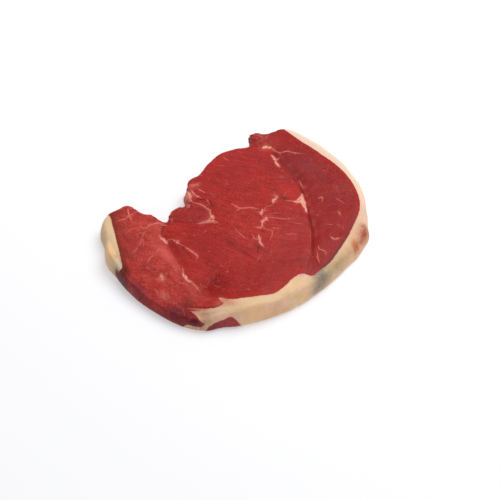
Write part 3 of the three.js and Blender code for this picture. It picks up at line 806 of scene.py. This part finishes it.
# ---------------------------------------------------------------------------------------------
# The finish. Lean is dark wet red with fine fibres; fat is waxy cream. What the colours need to
# know at each point is kept with the skin, and the grain comes from noise in millimetres.
STREAKED = (-32, -4)  # where dark streaks run between the fibres, and their reach
STREAKED_REACH = 20
KINDS = {1: ("FLOAT", "value"), 3: ("FLOAT_VECTOR", "vector"), 4: ("FLOAT_COLOR", "color")}


def keep(name, values):
    """Keep one value, three or a colour at each point of the skin."""
    kind, field = KINDS[values.size // count]
    data = steak.data.attributes.new(name, kind, "POINT").data
    data.foreach_set(field, values.astype(np.float32).ravel())


keep("fat", np.column_stack([fat, cut_fat, above_ridge]))
keep("vein_and_glint", vein_and_glint)
keep("vein_and_glint_strength", vein_and_glint_strength)
keep("crack_and_shade", crack_and_shade)
keep("crack_and_shade_strength", crack_and_shade_strength)
keep("muscle", np.column_stack([eye, cap, tail]))
keep("lobe", lobe)
keep("pit", in_pit)
keep("torn", torn * lean * step(6, 1, in_from_edge))
by_cap = step(8, 22, plan[:, 0]) * step(82, 60, plan[:, 0])  # the rim's stretch under the cap
# Painted shade: a dark purple line in the lean where the cap meets the rind.
keep("painted_rind_shade", band(-1.0, 1.3, rind) * (girth > 10) * by_cap)
keep("streaked", 0.3 + 0.7 * around(STREAKED, STREAKED_REACH))
keep("skinned", skinned)
keep("pad_line", band(-1.7, 1.7, pad) * (girth > 3))
keep("bright_rim", band(-1.6, 1.2, rind) * (girth > 10) * step(-66, -50, place[:, 0]))
keep("fibre", fibre)
keep("lean_stain_shade_and_sheen", lean_stain_shade_and_sheen)
keep("fat_stain", fat_stain)
keep("skin_stain_and_sheen", skin_stain_and_sheen)

flesh = bpy.data.materials.new("flesh")
flesh.use_nodes = True
tree = flesh.node_tree
tree.nodes.clear()


def add(kind, inputs=(), **settings):
    """A shader node with its settings made and its inputs set or linked."""
    made = tree.nodes.new("ShaderNode" + kind)
    for name, value in settings.items():
        setattr(made, name, value)
    for name, value in dict(inputs).items():
        if isinstance(value, bpy.types.NodeSocket):
            tree.links.new(value, made.inputs[name])
        else:
            made.inputs[name].default_value = value
    return made


def stored(name, output="Fac"):
    return add("Attribute", attribute_name=name).outputs[output]


def parts(vector):
    return add("SeparateXYZ", {0: vector}).outputs


def maths(operation, first, second=0.0, third=0.0, clamp=False):
    inputs = {0: first, 1: second, 2: third}
    return add("Math", inputs, operation=operation, use_clamp=clamp).outputs[0]


def times(share, *others):
    for other in others:
        share = maths("MULTIPLY", share, other)
    return share


def ramp(value, low, high, start=0.0, end=1.0):
    """start below low, end above high, and smooth between."""
    inputs = {"Value": value, 1: low, 2: high, 3: start, 4: end}
    return add("MapRange", inputs, interpolation_type="SMOOTHSTEP").outputs[0]


def grain(vector, size, detail=2.0, roughness=0.5):
    """Noise from 0 to 1 with lumps of size, in the vector's own units."""
    inputs = {"Vector": vector, "Scale": 1 / size, "Detail": detail, "Roughness": roughness}
    return add("TexNoise", inputs).outputs[0]


def drawn_out(vector, scale):
    return add("Mapping", {0: vector, 3: scale}, vector_type="POINT").outputs[0]


def coated(base, *coats):
    """A colour with others laid over it, each coat as the share that shows and its colour."""
    for share, tint in coats:
        base = add("Mix", {0: share, 6: base, 7: tint}, data_type="RGBA").outputs[2]
    return base


def tint_coat(name, streaks):
    """A kept tint as a coat, with its strength broken by streaks."""
    share = maths("MINIMUM", times(stored(name, "Alpha"), streaks), 1.0)
    return share, stored(name, "Color")


spot = add("TexCoord").outputs["Object"]
spot_mm = add("VectorMath", {0: spot, 3: 1 / MM}, operation="SCALE").outputs[0]
fibre_mm = stored("fibre", "Vector")
muscle = parts(stored("muscle", "Vector"))

# Lean: three muscles of their own red, mottled, with light and dark fibres.
EYE_RED = srgb(162, 27, 22)
EYE_DEEP = srgb(138, 22, 20)
EYE_BRIGHT = srgb(176, 37, 30)
EYE_PINK = srgb(188, 59, 50)
EYE_STREAK = srgb(106, 12, 16)
PIT_RED = srgb(118, 0, 0)
CAP_RED = srgb(147, 21, 15)
CAP_DEEP = srgb(131, 18, 16)
CAP_BRIGHT = srgb(166, 42, 36)
TAIL_RED = srgb(180, 50, 42)
TAIL_DEEP = srgb(160, 36, 32)
TAIL_PALE = srgb(212, 98, 86)
LOBE_RED = srgb(156, 34, 32)
LOBE_BRIGHT = srgb(186, 58, 48)
RIM_RED = srgb(180, 28, 20)
# The colour of the painted shade where the cap meets the rind.
RIND_SHADE_PURPLE = srgb(92, 28, 36)
TORN_PINK = srgb(214, 96, 80)
# The colour of the painted glints.
PAINTED_GLINT_FLECK = srgb(208, 94, 82)
FLECK_DARK = srgb(108, 10, 10)
fine_fibres = grain(drawn_out(fibre_mm, (0.05, 1.0, 0.3)), 0.9, 3.0, 0.6)
long_fibres = grain(drawn_out(fibre_mm, (0.035, 1.0, 0.3)), 1.5, 2.0, 0.4)
mottle = grain(spot_mm, 10.0, 3.0)
speckle = grain(spot_mm, 1.5, 3.0, 0.65)
flecks = grain(spot_mm, 1.0, 2.0, 0.6)
clumps = grain(drawn_out(fibre_mm, (0.45, 1.0, 0.6)), 2.6, 3.0, 0.6)
shake = add("TexNoise", {"Vector": spot_mm, "Scale": 0.35}).outputs[1]
shaken = add("VectorMath", {0: spot_mm, 1: shake}).outputs[0]
bundles = add("TexVoronoi", {"Vector": shaken, "Scale": 1 / 3.4}, feature="DISTANCE_TO_EDGE")
bundle_walls = ramp(bundles.outputs["Distance"], 0.0, 0.14, 1.0, 0.0)

eye_colour = coated(
    EYE_RED,
    (ramp(mottle, 0.35, 0.68), EYE_BRIGHT),
    (ramp(fine_fibres, 0.52, 0.7, 0.0, 0.6), EYE_PINK),
    (ramp(fine_fibres, 0.48, 0.3, 0.0, 0.75), EYE_DEEP),
    (times(ramp(long_fibres, 0.42, 0.3), stored("streaked"), 0.75), EYE_STREAK),
    (ramp(long_fibres, 0.58, 0.75, 0.0, 0.3), EYE_PINK),
    (ramp(speckle, 0.52, 0.75, 0.0, 0.5), EYE_PINK),
    (ramp(speckle, 0.46, 0.3, 0.0, 0.5), EYE_DEEP),
    (times(stored("pit"), ramp(grain(spot_mm, 2.6, 3.0, 0.65), 0.36, 0.62), 0.7), PIT_RED),
)
cap_colour = coated(
    CAP_RED,
    (ramp(mottle, 0.4, 0.65, 0.0, 0.6), CAP_DEEP),
    (ramp(speckle, 0.5, 0.75, 0.0, 0.35), CAP_BRIGHT),
)
tail_colour = coated(
    TAIL_RED,
    (ramp(mottle, 0.4, 0.62), TAIL_DEEP),
    (ramp(clumps, 0.5, 0.75, 0.0, 0.45), TAIL_PALE),
    (ramp(speckle, 0.52, 0.7, 0.0, 0.5), TAIL_PALE),
    (ramp(speckle, 0.44, 0.3, 0.0, 0.4), TAIL_DEEP),
    (ramp(clumps, 0.45, 0.25, 0.0, 0.5), TAIL_DEEP),
    (times(bundle_walls, ramp(clumps, 0.4, 0.65, 0.05, 0.3)), TAIL_PALE),
)
lobe_colour = coated(
    LOBE_RED,
    (ramp(speckle, 0.5, 0.75, 0.0, 0.4), LOBE_BRIGHT),
    (ramp(mottle, 0.5, 0.35, 0.0, 0.5), EYE_STREAK),
)
lean_colour = coated(
    eye_colour,
    (stored("lobe"), lobe_colour),
    (muscle[1], cap_colour),
    (muscle[2], tail_colour),
    (times(stored("bright_rim"), 0.4), RIM_RED),
    # Pale flecks are painted glints of the wet surface; the dark flecks are fine dark speckle.
    (ramp(flecks, 0.54, 0.72, 0.0, 0.38), PAINTED_GLINT_FLECK),
    (ramp(flecks, 0.46, 0.28, 0.0, 0.45), FLECK_DARK),
    (times(stored("torn"), ramp(speckle, 0.5, 0.62), 0.6), TORN_PINK),
    (times(stored("torn"), ramp(speckle, 0.48, 0.36), 0.6), EYE_STREAK),
    # Painted shade along the cap's edge by the rind.
    (times(stored("painted_rind_shade"), 0.9), RIND_SHADE_PURPLE),
    # The lean's stains, with painted shade, painted shadow and painted sheen among them.
    (stored("lean_stain_shade_and_sheen", "Alpha"), stored("lean_stain_shade_and_sheen", "Color")),
)

# Veins, pale specks of painted glint, cracks and the line of painted shade by the rind, with edges that
# the grain frays.
VEIN_AND_GLINT_COLOUR = srgb(220, 128, 112)
VEIN_AND_GLINT_HAZE = srgb(204, 84, 74)
VEIN_WAX = srgb(234, 170, 150)
CRACK_AND_SHADE_RED = srgb(88, 2, 2)
STROKE_REACH = (2.6, 1.6)  # mm from a stroke: no colour beyond the first, full within the second
fray = maths("MULTIPLY_ADD", grain(spot_mm, 0.9, 2.0), 1.1, -0.65)
patchy = ramp(grain(spot_mm, 1.9, 2.0), 0.3, 0.6, 0.45, 1.05)


def drawn(name, edge):
    """How much of a stroke's colour shows, from the stroke kept under a name."""
    read = parts(stored(name, "Vector"))
    into = maths("ADD", maths("SUBTRACT", read[2], maths("ABSOLUTE", read[0])), fray)
    share = times(ramp(into, -edge, edge), ramp(read[1], *STROKE_REACH), patchy)
    return maths("MULTIPLY", share, stored(name + "_strength"), clamp=True)


vein_and_glint_read = parts(stored("vein_and_glint", "Vector"))
beside_vein_and_glint = maths("SUBTRACT", vein_and_glint_read[1], vein_and_glint_read[2])
haze = times(ramp(beside_vein_and_glint, 2.2, 0.0, 0.0, 0.4), stored("vein_and_glint_strength"))
vein_and_glint_colour = coated(VEIN_AND_GLINT_COLOUR, (ramp(vein_and_glint_read[2], 0.6, 1.3), VEIN_WAX))
lean_colour = coated(
    lean_colour,
    (times(drawn("crack_and_shade", 0.55), 0.8), CRACK_AND_SHADE_RED),
    (times(haze, ramp(vein_and_glint_read[2], 0.35, 0.9)), VEIN_AND_GLINT_HAZE),
    (drawn("vein_and_glint", 0.32), vein_and_glint_colour),
)

# The skin of the tail with its stains and painted sheen, and the brown line where the lean meets the
# pad.
SKIN_PURPLE = srgb(116, 28, 36)
SKIN_RED = srgb(150, 38, 36)
SKIN_BLACK = srgb(78, 12, 24)
SKIN_PINK = srgb(176, 74, 72)
PAD_LINE = srgb(118, 44, 30)
skin_streaks = grain(drawn_out(spot_mm, (1.0, 1.0, 0.25)), 2.4, 3.0, 0.6)
skin_spots = grain(drawn_out(spot_mm, (1.0, 1.0, 0.5)), 2.0, 4.0, 0.7)
skin_colour = coated(SKIN_PURPLE, (ramp(skin_streaks, 0.4, 0.65), SKIN_RED))
lean_colour = coated(
    lean_colour,
    (times(stored("skinned"), 0.7), skin_colour),
    # Stains on the skin, with painted sheen among them.
    tint_coat("skin_stain_and_sheen", ramp(skin_streaks, 0.25, 0.6, 0.6, 1.15)),
    (times(stored("skinned"), ramp(skin_spots, 0.5, 0.36, 0.0, 0.7)), SKIN_BLACK),
    (times(stored("skinned"), ramp(skin_spots, 0.54, 0.68, 0.0, 0.6)), SKIN_PINK),
    (times(stored("pad_line"), 0.75), PAD_LINE),
)

# Fat, lighter where the knife cut it and tan and streaked outside.
CUT_CREAM = srgb(230, 196, 156)
CUT_YELLOW = srgb(226, 190, 142)
CUT_PINK = srgb(228, 184, 156)
OUTER_TAN = srgb(243, 203, 174)
OUTER_OCHRE = srgb(234, 194, 150)
OUTER_GREY = srgb(216, 180, 158)
EDGE_PINK = srgb(226, 164, 138)
fat_read = parts(stored("fat", "Vector"))
streaks = grain(drawn_out(spot_mm, (1.0, 1.0, 0.08)), 1.6, 3.0, 0.6)
blotches = grain(spot_mm, 9.0, 3.0)
cut_colour = coated(
    CUT_CREAM,
    (ramp(blotches, 0.4, 0.65), CUT_YELLOW),
    (ramp(grain(spot_mm, 6.0, 3.0), 0.5, 0.72, 0.0, 0.7), CUT_PINK),
)
outer_colour = coated(
    OUTER_TAN,
    (ramp(blotches, 0.38, 0.62), OUTER_OCHRE),
    (ramp(streaks, 0.45, 0.75, 0.0, 0.6), OUTER_GREY),
    (ramp(streaks, 0.45, 0.25, 0.0, 0.4), CUT_CREAM),
)
fat_colour = coated(
    outer_colour,
    (fat_read[1], cut_colour),
    (ramp(fat_read[0], 1.8, 0.2, 0.0, 0.55), EDGE_PINK),
    tint_coat("fat_stain", ramp(streaks, 0.35, 0.65, 1.1, 0.86)),
)

fat_fray = maths("MULTIPLY_ADD", grain(spot_mm, 2.0, 3.0), 1.3, -0.65)
is_fat = ramp(maths("ADD", fat_read[0], fat_fray), -0.35, 0.35)
colour = coated(lean_colour, (is_fat, fat_colour))

# Surface: fine fibres in the lean, soft dimples in the fat, and a thin wet film over both.
lean_height = maths("ADD", times(fine_fibres, muscle[0]), times(speckle, 0.6))
lean_height = maths("ADD", lean_height, flecks)
height = add("Mix", {0: is_fat, 2: lean_height, 3: streaks}, data_type="FLOAT").outputs[0]
bump = add("Bump", {"Height": height, "Strength": 0.7, "Distance": 0.5 * MM})
lean_shine = ramp(mottle, 0.3, 0.7, 0.34, 0.5)
shine = add("Mix", {0: is_fat, 2: lean_shine, 3: 0.5}, data_type="FLOAT").outputs[0]
surface = add(
    "BsdfPrincipled",
    {
        "Base Color": colour,
        "Roughness": shine,
        "Normal": bump.outputs[0],
        "Subsurface Weight": 0.12,
        "Subsurface Radius": (1.0, 0.35, 0.2),
        "Subsurface Scale": 1.5 * MM,
        "Specular IOR Level": 0.12,
        "Coat Weight": 0.06,
        "Coat Roughness": 0.25,
    },
)
add("OutputMaterial", {"Surface": surface.outputs[0]})

steak.data.materials.clear()
steak.data.materials.append(flesh)
for polygon in steak.data.polygons:
    polygon.use_smooth = True
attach(steak, "root")
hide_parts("steak")

# ---------------------------------------------------------------------------------------------
# The floor: a wide sheet of matt white board, lit a little from below as on a light table.
FLOOR_SIZE = 6.0  # m
bpy.ops.object.select_all(action="DESELECT")
bpy.ops.mesh.primitive_plane_add(size=FLOOR_SIZE, location=(0, 0, 0))
floor = bpy.context.active_object
floor.name = "floor"
board = bpy.data.materials.new("white board")
board.use_nodes = True
board_finish = {
    "Base Color": (0.64, 0.64, 0.65, 1),
    "Emission Color": (0.985, 0.985, 1.0, 1),
    "Emission Strength": 0.35,
    "Roughness": 0.9,
    "Specular IOR Level": 0.1,
}
for name, value in board_finish.items():
    board.node_tree.nodes["Principled BSDF"].inputs[name].default_value = value
floor.data.materials.append(board)

# Light: a bright even room, and a wide soft box above and behind to the right.
ROOM_STRENGTH = 0.52
BOX_PLACE = Vector((0.7, 0.1, 1.2))  # m
BOX_SIZE = 1.0
BOX_POWER = 14.7  # W
room = bpy.data.worlds.new("room")
room.use_nodes = True
room.node_tree.nodes["Background"].inputs[0].default_value = (0.98, 0.985, 1.0, 1)
room.node_tree.nodes["Background"].inputs[1].default_value = ROOM_STRENGTH
bpy.context.scene.world = room
light = bpy.data.lights.new("overhead box", "AREA")
light.shape = "DISK"
light.size = BOX_SIZE
light.energy = BOX_POWER
soft_box = bpy.data.objects.new("overhead box", light)
soft_box.location = BOX_PLACE
soft_box.rotation_euler = (-BOX_PLACE).to_track_quat("-Z", "Y").to_euler()
bpy.context.scene.collection.objects.link(soft_box)

# The camera stands well back over the cap's side of the rind and looks down at half a right angle.
AZIMUTH = math.radians(-40)
ELEVATION = math.radians(50)
DISTANCE = 1.0035  # m
AIM = Vector((-0.0084, -0.0132, 0))
camera = bpy.data.objects.new("camera", bpy.data.cameras.new("camera"))
camera.data.lens = 85
camera.location = AIM + DISTANCE * Vector(
    (
        math.sin(AZIMUTH) * math.cos(ELEVATION),
        -math.cos(AZIMUTH) * math.cos(ELEVATION),
        math.sin(ELEVATION),
    )
)
camera.rotation_euler = (math.pi / 2 - ELEVATION, 0, AZIMUTH)
bpy.context.scene.collection.objects.link(camera)
bpy.context.scene.camera = camera
bpy.context.scene.view_settings.view_transform = "Standard"
